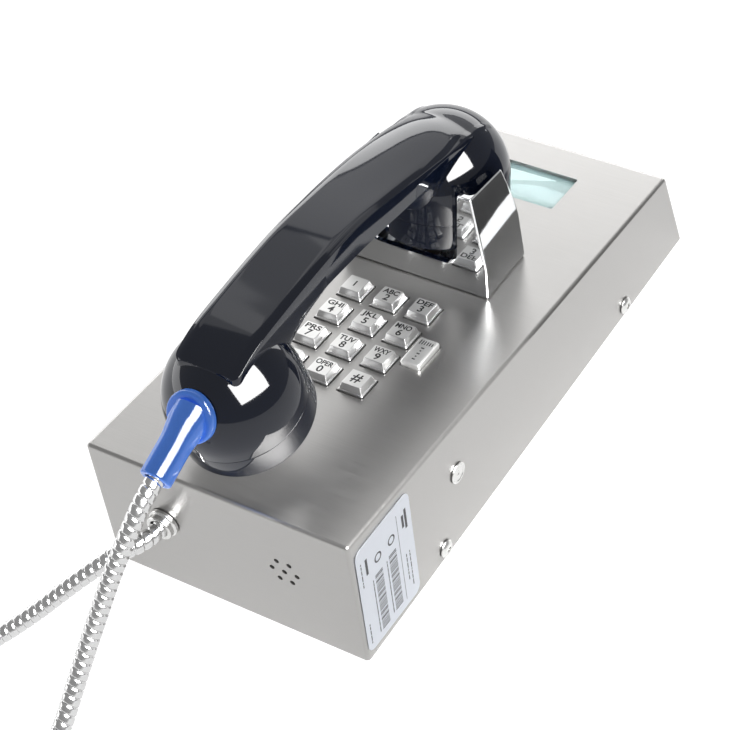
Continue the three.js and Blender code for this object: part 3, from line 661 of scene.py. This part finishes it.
def cradle_notch():
    """A tool for the wide notch in the near wall, with its lower corners rounded."""
    outline = filleted([(25.2, 60, 0), (-25.2, 60, 0), (-22.4, 13.3, 6.5), (22.4, 13.3, 6.5)], 10, closed=True)
    points = [(x, CRADLE_NEAR + dy, z) for dy in (-6, 6) for x, z in outline]
    count = len(outline)
    faces = [range(count), range(count, 2 * count)]
    faces += [(k, (k + 1) % count, count + (k + 1) % count, count + k) for k in range(count)]
    return mesh_object("notch", points, faces)


def cradle():
    """A die-cast chromed block with an open socket behind a notched near wall."""
    block = cradle_block()
    floor = CRADLE_FLOOR
    wide = (SOCKET_HALF_WIDTH, SOCKET_HALF_LENGTH, 3)
    socket = stacked("socket", [(29.4, 21, 3, floor), (*wide, floor + 1.2), (*wide, 70)])
    moved(socket, Matrix.Translation((0, CRADLE_NEAR + CRADLE_WALL + SOCKET_HALF_LENGTH, 0)))
    slot = slab("slot", 8, 19.7, 0.6, -1, floor + 1, 0, CRADLE_NEAR + 22.85)
    cut(block, socket, cradle_notch(), slot)
    bevelled(block, 0.8, 4, 40)
    smoothed(block, 40, weighted=True)
    shift = FACE @ Matrix.Translation((FITTING_X, 0, 0))
    put_together(block, "case", LOOKS["chrome"], "cradle_chrome", "cradle", frame_matrix=shift)


# ---------------------------------------------------------------- keypad

LEGENDS = {
    "key_1": ("1", ""), "key_2": ("2", "ABC"), "key_3": ("3", "DEF"),
    "key_4": ("4", "GHI"), "key_5": ("5", "JKL"), "key_6": ("6", "MNO"),
    "key_7": ("7", "PRS"), "key_8": ("8", "TUV"), "key_9": ("9", "WXY"),
    "key_star": ("*", ""), "key_0": ("0", "OPER"), "key_hash": ("#", ""),
}
SINGLE_SIZES = {"1": 3.8, "*": 8.5, "#": 5.8}  # of the marks that stand alone on a key


def lettering(text, height, width, x, y, z):
    """Flat letters of the given size centred on (x, y), drawn out to a width if one is given."""
    curve = bpy.data.curves.new("letters", "FONT")
    curve.body = text
    curve.size = height * 1.3
    curve.align_x = "CENTER"
    curve.align_y = "CENTER"
    curve.offset = LETTER_WEIGHT / 2
    curve.fill_mode = "FRONT"
    source = bpy.data.objects.new("letters", curve)
    scene.collection.objects.link(source)
    bpy.context.view_layer.update()
    depsgraph = bpy.context.evaluated_depsgraph_get()
    mesh = bpy.data.meshes.new_from_object(source.evaluated_get(depsgraph))
    bpy.data.objects.remove(source)
    obj = bpy.data.objects.new("letters", mesh)
    scene.collection.objects.link(obj)
    low = np.min([v.co for v in mesh.vertices], axis=0)
    high = np.max([v.co for v in mesh.vertices], axis=0)
    middle = (low + high) / 2
    stretch = width / (high[0] - low[0]) if width > 0 else 1.0
    centred = Matrix.Translation((-middle[0], -middle[1], 0))
    moved(obj, Matrix.Translation((x, y, z)) @ Matrix.Diagonal((stretch, 1, 1, 1)) @ centred)
    mesh.materials.clear()
    mesh.materials.append(LOOKS["legend"])
    return obj


def key_block():
    """A square key with a hidden flange below the sheet, a step round its foot and tapered sides."""
    layers = [
        (7.1, 7.1, 0.6, -4.5), (7.1, 7.1, 0.6, -2.3), (6.1, 6.1, 0.5, -2.3), (6.1, 6.1, 0.5, 0.7),
        (5.95, 5.95, 0.5, 0.9), (5.6, 5.6, 0.5, 0.9), (5.5, 5.5, 0.5, 1.0), (4.72, 4.72, 0.45, 3.8),
        (4.66, 4.66, 0.45, 3.92), (4.5, 4.5, 0.4, KEY_TOP_H),
    ]
    block = stacked("block", layers)
    block.data.materials.append(LOOKS["key"])
    block.data.materials.append(LOOKS["key_top"])
    for face in block.data.polygons:
        face.material_index = int(face.normal.z > 0.99 and face.center.z > 3.9)
    return smoothed(block, 20)


def keys():
    """Twelve keys, each with its digit or mark and, on most, letters above it."""
    for name, x, y in key_places():
        digit, letters = LEGENDS[name]
        parts = [key_block()]
        top = KEY_TOP_H + 0.015
        if letters:
            spread = 7.6 if len(letters) == 3 else 8.2
            parts.append(lettering(letters, 3.1, spread, 0, 2.3, top))
            parts.append(lettering(digit, 4.2, 0, 0, -1.7, top))
        else:
            parts.append(lettering(digit, SINGLE_SIZES[digit], 0, 0, 0.1, top))
        key = joined(f"{name}_engraved", parts)
        shift = FACE @ Matrix.Translation((x, y, 0))
        put_together(key, name, None, "key_metal", name, frame_matrix=shift)


def volume_key():
    """A tall plated rocker with a rising bar mark."""
    half_x = VOLUME_KEY["width"] / 2
    half_y = VOLUME_KEY["length"] / 2
    top = VOLUME_KEY["top"]
    layers = [
        (half_x, 10, 0.6, -4.5), (half_x, 10, 0.6, -2.3), (half_x, half_y, 0.9, -2.3),
        (half_x, half_y, 0.9, top - 0.9), (half_x - 0.12, half_y - 0.12, 0.9, top - 0.45),
        (half_x - 0.45, half_y - 0.45, 0.9, top - 0.12), (half_x - 0.9, half_y - 0.9, 0.8, top),
    ]
    block = stacked("block", layers)
    block.data.materials.append(LOOKS["key_top"])
    parts = [smoothed(block, 30)]
    for k in range(6):
        bar = slab("bar", 0.5, 2.9 - 0.22 * k, 0.05, top, top + 0.015, -2.9 + 1.15 * k, 5.4)
        bar.data.materials.append(LOOKS["legend"])
        parts.append(bar)
    for k in range(5):
        mark = slab("mark", 1.5 - 0.7 * (k % 2), 0.7, 0.05, top, top + 0.015, 0.1, 2.1 - 1.9 * k)
        mark.data.materials.append(LOOKS["legend"])
        parts.append(mark)
    key = joined("volume_key_plated", parts)
    shift = FACE @ Matrix.Translation((VOLUME_KEY["x"], VOLUME_KEY["y"], 0))
    put_together(key, "volume_key", None, "key_metal", "volume_key", frame_matrix=shift)


# ---------------------------------------------------------------- display

def display():
    """A clear pane set below the case's opening, over the display's grey glass."""
    width = DISPLAY["width"]
    length = DISPLAY["length"]
    top = -SHEET - GAP
    pane = slab("lcd_window_pane", width + 5, length + 5, 1.5, top - 2, top, 0, DISPLAY["y"], edge=0.3)
    put_together(smoothed(pane), "case", LOOKS["window"], "window_clear", "lcd_window", frame_matrix=FACE)
    glass = slab("lcd_module_glass", width + 3, length + 3, 1, top - 8, top - 2.4, 0, DISPLAY["y"], edge=0.2)
    put_together(glass, "case", LOOKS["display"], "display_grey", "lcd_module", frame_matrix=FACE)


# ---------------------------------------------------------------- handset

def cap_frame(end):
    """Where an end's cap sits: its origin is the middle of the cap's outer face."""
    tilt = Matrix.Rotation(math.radians(end["tilt"]), 4, "X")
    return Matrix.Translation((FITTING_X, end["y"], end["z"])) @ tilt


def smooth_step(value, low, high):
    t = min(1.0, max(0.0, (value - low) / (high - low)))
    return t * t * (3 - 2 * t)


def grip_section(y, edge_top, bottom):
    """Half of the grip's outline at one station, from the middle of its back to the middle of its belly."""
    half = GRIP_HALF + (GRIP_EAR_HALF - GRIP_HALF) * smooth_step(y, 95, 150)
    corner = max(0.0, 1 - (y - GRIP_NEAR_Y) / GRIP_END_ROUNDING)
    half -= GRIP_END_ROUNDING * (1 - math.sqrt(1 - corner * corner))
    slice_radius = EAR["dome"]
    if y > EAR_TOP_Y:
        slice_radius = math.sqrt(EAR["dome"] ** 2 - (y - EAR_TOP_Y) ** 2)
    arch = slice_radius - math.sqrt(slice_radius ** 2 - half ** 2)
    crown = arch * smooth_step(y, 105, 196) / smooth_step(EAR_TOP_Y, 105, 196)
    middle_top = edge_top + crown
    if y > EAR_TOP_Y:
        crown = arch
        middle_top = EAR_TOP_H - EAR["dome"] + slice_radius + 0.03 - 0.01 * (y - EAR_TOP_Y)
    roll = GRIP_EDGE_ROLL * (1 - smooth_step(y, 172, EAR_TOP_Y))
    soft = 0.35 + 2.8 * smooth_step(y, 158, 182)
    ring = []
    for k in range(15):
        x = (half - soft) * (k / 14) ** 0.8
        arched = (slice_radius - math.sqrt(slice_radius ** 2 - x ** 2)) / arch
        rolled = max(0.0, x - (half - soft - roll)) / GRIP_EDGE_ROLL
        ring.append((x, middle_top - crown * arched - GRIP_EDGE_DROP * rolled * rolled))
    shoulder = ring[-1][1]
    for k in range(1, 5):
        angle = math.pi / 8 * k
        ring.append((half - soft + soft * math.sin(angle), shoulder - soft + soft * math.cos(angle)))
    edge = min(BAND_EDGE_H, shoulder - soft - 0.6)
    ring.append((half, (shoulder - soft + edge) / 2))
    start = math.radians(38) * smooth_step(y, 66, 84)
    for k in range(17):
        angle = start + (math.pi / 2 - start) * k / 16
        x = half * math.cos(angle) / math.cos(start)
        fall = (math.sin(angle) - math.sin(start)) / (1 - math.sin(start))
        ring.append((x, edge - (edge - bottom) * fall))
    return ring


def grip():
    """The arched back of the handset: a flat strip on top, a flat band down each side and a round belly."""
    edge_line = catmull([(4, 56.4, 0), (12.6, 61.8, 0), (24.3, 66.1, 0), (44, 69.4, 0), (64, 72, 0),
                         (84, 73.7, 0), (104, 73.6, 0), (124, 72.1, 0), (144.5, 69.6, 0), (165, 66.4, 0),
                         (175, 64.2, 0), (EAR_TOP_Y, 61.43, 0)], 8)
    under = catmull([(46, 36, 0), (58, 47, 0), (72, 54.6, 0), (88, 57.8, 0), (104, 58.6, 0), (120, 57.8, 0),
                     (137, 53.6, 0), (147, 47, 0), (155, 36, 0)], 8)
    rounding = GRIP_NEAR_Y + GRIP_END_ROUNDING * (1 - np.cos(np.linspace(0, math.pi / 2, 8)))
    stations = np.concatenate([rounding, np.linspace(GRIP_NEAR_Y + 4.2, GRIP_FAR_Y, 150)])
    edges = np.interp(stations, [p.x for p in edge_line], [p.y for p in edge_line])
    bottoms = np.interp(stations, [p.x for p in under], [p.y for p in under], left=36, right=36)
    points = []
    rings = []
    for y, edge_top, bottom in zip(stations, edges, bottoms):
        ring = grip_section(y, edge_top, bottom)
        outline = ring[:-1] + [(0.0, bottom)] + [(-x, z) for x, z in reversed(ring[1:-1])]
        rings.append(range(len(points), len(points) + len(outline)))
        points.extend((x, y, z) for x, z in outline)
    faces = [rings[0], rings[-1]]
    count = len(rings[0])
    for here, there in zip(rings, rings[1:]):
        for k in range(count):
            following = (k + 1) % count
            faces.append((here[k], here[following], there[following], there[k]))
    return moved(mesh_object("handset_shell_moulded", points, faces), Matrix.Translation((FITTING_X, 0, 0)))


def dome(end):
    """The round back of the handset's end, above the seam of its cap."""
    seam = CAP_HEIGHT + GAP
    radius = end["dome"]
    profile = [(0, seam - 0.1), (radius - 0.25, seam - 0.1), (radius, seam + 0.25)]
    for k in range(33):
        angle = k / 32 * math.pi / 2
        profile.append((radius * math.cos(angle), end["rise"] + radius * math.sin(angle)))
    profile[-1] = (0, end["rise"] + radius)
    return moved(turned("dome", profile, 144), cap_frame(end))


def handset_shell():
    """The grip and both domes in one moulding, cut level at the caps and bored for the capsules."""
    shell = united(grip(), dome(MOUTH), dome(EAR))
    frames = [cap_frame(MOUTH), cap_frame(EAR)]
    seams = [moved(rod("seam", 45, -40, CAP_HEIGHT + GAP, 24), place) for place in frames]
    pockets = [moved(rod("pocket", CAPSULE_POCKET, 0, CAP_HEIGHT + 9, 64), place) for place in frames]
    cut(shell, *seams)
    cut(shell, *pockets)
    smoothed(shell, 24)
    put_together(shell, "handset", LOOKS["black"], "handset_black", "handset_shell", frame_matrix=FACE)


def handset_cap(name, end):
    """A screwed-on cap with a rounded rim and a rosette of sound holes."""
    outer = end["radius"]
    inner = outer - CAP_WALL
    profile = filleted([(0, 0, 0), (outer, 0, 1.5), (outer, CAP_HEIGHT, 0.35), (inner, CAP_HEIGHT, 0.3),
                        (inner, CAP_WALL, 1.2), (0, CAP_WALL, 0)], 8)
    cap = turned(f"{name}_moulded", profile, 144)
    drills = [rod("drill", 1, -2, 5, 20)]
    for k in range(6):
        drill = rod("drill", 1, -2, 5, 20)
        angle = k * math.pi / 3
        drills.append(moved(drill, Matrix.Translation((7 * math.cos(angle), 7 * math.sin(angle), 0))))
    cut(cap, joined("drills", drills))
    smoothed(cap)
    put_together(cap, "handset", LOOKS["black"], "handset_black", name, frame_matrix=FACE @ cap_frame(end))


def aimed(direction, origin):
    turn = Vector((0, 0, 1)).rotation_difference(direction).to_matrix().to_4x4()
    return Matrix.Translation(origin) @ turn


def boot_frames():
    """The mouth dome's centre, the flange's outward direction and seat, and the cord's direction."""
    tilt = math.radians(MOUTH["tilt"])
    rise = MOUTH["rise"]
    centre = Vector((FITTING_X, MOUTH["y"] - rise * math.sin(tilt), MOUTH["z"] + rise * math.cos(tilt)))
    outward = Vector((0, -math.cos(BOOT_RISE), math.sin(BOOT_RISE)))
    along = Vector((0, -math.cos(BOOT_DROOP), -math.sin(BOOT_DROOP)))
    return centre, outward, centre + outward * MOUTH["dome"], along


def handset_boot():
    """A blue strain relief: a round flange seated on the dome and a sleeve round the cord's end."""
    centre, outward, seat, along = boot_frames()
    flange = filleted([(0, -1.2, 0), (11, -1.2, 0), (11, 1.9, 1.2), (8.4, 1.9, 0.5), (0, 2.4, 0)], 6)
    sleeve = filleted([(0, -3, 0), (8.2, -3, 0), (8.1, 3, 6), (6.7, 12, 30), (6.7, BOOT_LENGTH, 0.9),
                       (4.3, BOOT_LENGTH, 0.4), (4.2, BOOT_LENGTH - 5, 0), (0, BOOT_LENGTH - 5, 0)], 6)
    boot = moved(turned("handset_boot_moulded", flange), aimed(outward, seat))
    united(boot, moved(turned("sleeve", sleeve), aimed(along, seat)))
    radius = MOUTH["dome"] + GAP
    ball = [(radius * math.sin(k * math.pi / 48), -radius * math.cos(k * math.pi / 48)) for k in range(49)]
    ball[0] = (0, -radius)
    ball[-1] = (0, radius)
    seat_ball = moved(turned("seat", ball, 96), Matrix.Translation(centre))
    clear = slab("clear", 2 * GRIP_HALF + 2, 25, 1, 30, 70, FITTING_X, GRIP_NEAR_Y - GAP + 12.5)
    cut(boot, seat_ball, clear)
    smoothed(boot, 30)
    put_together(boot, "handset", LOOKS["boot"], "boot_blue", "handset_boot", frame_matrix=FACE)


# ---------------------------------------------------------------- armoured cord

def cord_line():
    """The cord's centre line: the CAD route, then up to the boot and a little way into it."""
    _, _, seat, along = boot_frames()
    end = FACE @ (seat + along * (BOOT_LENGTH + 3 * GAP))
    inside = FACE @ (seat + along * (BOOT_LENGTH - 3.5))
    return catmull(CORD_ROUTE + [tuple(end), tuple(inside)], 20)


def evenly(line, spacing):
    """Points at equal distances along a line, with the total length."""
    places = np.array([tuple(p) for p in line])
    reach = np.concatenate([[0], np.cumsum(np.linalg.norm(np.diff(places, axis=0), axis=1))])
    count = int(reach[-1] / spacing)
    marks = np.linspace(0, reach[-1], count + 1)
    even = np.stack([np.interp(marks, reach, places[:, axis]) for axis in range(3)], axis=1)
    return even, marks


def rib(phase):
    """Radius of the strip-wound armour over one turn: a broad, slightly round band and a narrow groove."""
    t = abs(2 * (phase % 1.0) - 1)
    return CREST_RADIUS - 0.12 * t * t - 0.5 * smooth_step(t, 0.7, 0.95)


def armoured_cord():
    """A tube wound from steel strip, run along the cord's line and blended between the case and the handset."""
    line, marks = evenly(cord_line(), CORD_STEP)
    sides = 28
    tangents = np.gradient(line, axis=0)
    tangents /= np.linalg.norm(tangents, axis=1)[:, None]
    normal = np.cross(tangents[0], (0, 0, 1))
    points = []
    for place, tangent, mark in zip(line, tangents, marks):
        normal = normal - tangent * np.dot(normal, tangent)
        normal /= np.linalg.norm(normal)
        binormal = np.cross(tangent, normal)
        for k in range(sides):
            angle = 2 * math.pi * k / sides
            radius = rib(mark / CORD_PITCH + k / sides)
            points.append(place + radius * (math.cos(angle) * normal + math.sin(angle) * binormal))
    faces = [range(sides), range(len(points) - sides, len(points))]
    for step in range(len(line) - 1):
        for k in range(sides):
            following = (k + 1) % sides
            here = step * sides
            faces.append((here + k, here + following, here + sides + following, here + sides + k))
    cord = mesh_object("armoured_cord", points, faces)
    smoothed(cord, 60)
    put_together(cord, None, LOOKS["cord"], "cord_steel", "cord")
    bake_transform(cord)


# ---------------------------------------------------------------- CAD nodes that are shown as they are

KEPT_NODES = {
    "back_plate": "steel", "hook_bracket": "screw", "hook_pin": "spring", "hook_spring": "spring",
    "hook_switch": "plastic", "hook_lever": "spring", "keypad_frame": "plastic", "keypad_mat": "rubber",
    "keypad_board": "board", "lcd_board": "board", "main_board": "board", "ringer": "plastic",
    "gland_nut": "screw", "transmitter_capsule": "plastic", "receiver_capsule": "plastic",
}


def finish_kept_nodes():
    for name, look in KEPT_NODES.items():
        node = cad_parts[name]
        node.data.materials.clear()
        node.data.materials.append(LOOKS[look])


# ---------------------------------------------------------------- studio

FLOOR_HALF = 3
WINDOW_AZIMUTH = -30
WINDOW_SPAN = 80  # degrees of azimuth
WINDOW_DISTANCE = 1.5


def softbox(name, centre, target, width, height, radiance, fills=True):
    """A rectangular light. One that doesn't fill shows in glossy surfaces only."""
    data = bpy.data.lights.new(name, "AREA")
    data.shape = "RECTANGLE"
    data.size = width
    data.size_y = height
    data.energy = radiance * math.pi * width * height
    light = bpy.data.objects.new(name, data)
    scene.collection.objects.link(light)
    light.visible_diffuse = fills
    aim = (Vector(target) - Vector(centre)).to_track_quat("-Z", "Y")
    light.matrix_world = Matrix.Translation(centre) @ aim.to_matrix().to_4x4()


def direction(azimuth, elevation, distance):
    """A place seen from the origin, with azimuth 0 along +Y and 90 along +X."""
    a = math.radians(azimuth)
    e = math.radians(elevation)
    return Vector((math.sin(a) * math.cos(e), math.cos(a) * math.cos(e), math.sin(e))) * distance


def studio():
    """An even white surround, a pale floor, two soft boxes, a window and a dark card."""
    world = bpy.data.worlds.new("studio")
    world.use_nodes = True
    world.node_tree.nodes["Background"].inputs["Color"].default_value = (1, 1, 1, 1)
    world.node_tree.nodes["Background"].inputs["Strength"].default_value = 0.36
    scene.world = world
    scene.view_settings.view_transform = "Standard"
    corners = [(-1, -1, 0), (1, -1, 0), (1, 1, 0), (-1, 1, 0)]
    floor = moved(mesh_object("floor", corners, [(0, 1, 2, 3)]), Matrix.Scale(FLOOR_HALF, 4))
    pale = (0.4, 0.4, 0.4)
    look = surface("white_floor", pale, 0.8, 0.0, 0.02, 0.0, 8, tint=0.01, specular=0.1, emission=2.2)
    floor.data.materials.append(look)
    softbox("softbox_right", (0.56, -0.22, 0.7), (0, -0.08, 0.1), 0.84, 0.6, 26.0, fills=False)
    softbox("softbox_left", direction(-100, 9, 1.5), (0, 0, 0.06), 1.7, 0.42, 2.4, fills=False)
    window_light(Vector((0, 0, 0.08)))
    dark_card()


def window_light(middle):
    """A tall window behind the left side: bright low down, dimmer above, barred at the top."""
    levels = {"low": (14.5, 1, 0.55, 3.7), "middle": (33, 1, 0.36, 1.0), "high": (49, 5, 0.42, 0.6)}
    for level, (elevation, count, height, radiance) in levels.items():
        for pane in range(count):
            azimuth = WINDOW_AZIMUTH + WINDOW_SPAN * ((pane + 0.5) / count - 0.5)
            width = 2 * WINDOW_DISTANCE * math.tan(math.radians(WINDOW_SPAN / count / 2)) - 0.03
            centre = middle + direction(azimuth, elevation, WINDOW_DISTANCE)
            softbox(f"pane_{level}_{pane + 1}", centre, middle, width, height, radiance)


def dark_card():
    """A black card beside the case that only mirror reflections show, for depth in the chrome."""
    corners = [(85, 20, 41), (85, 150, 41), (85, 150, 120), (85, 20, 120)]
    card = moved(mesh_object("dark_card", corners, [(0, 1, 2, 3)]), Matrix.Scale(MM, 4))
    card.data.materials.append(LOOKS["plastic"])
    for kind in ("camera", "diffuse", "shadow", "transmission", "volume_scatter"):
        setattr(card, f"visible_{kind}", False)


camera()
armoured_cord()
front_cover()
cover_screws()
side_plug()
label()
cord_gland()
cradle()
keys()
volume_key()
display()
handset_shell()
handset_cap("mouth_cap", MOUTH)
handset_cap("ear_cap", EAR)
handset_boot()
finish_kept_nodes()
studio()

bpy.context.view_layer.update()
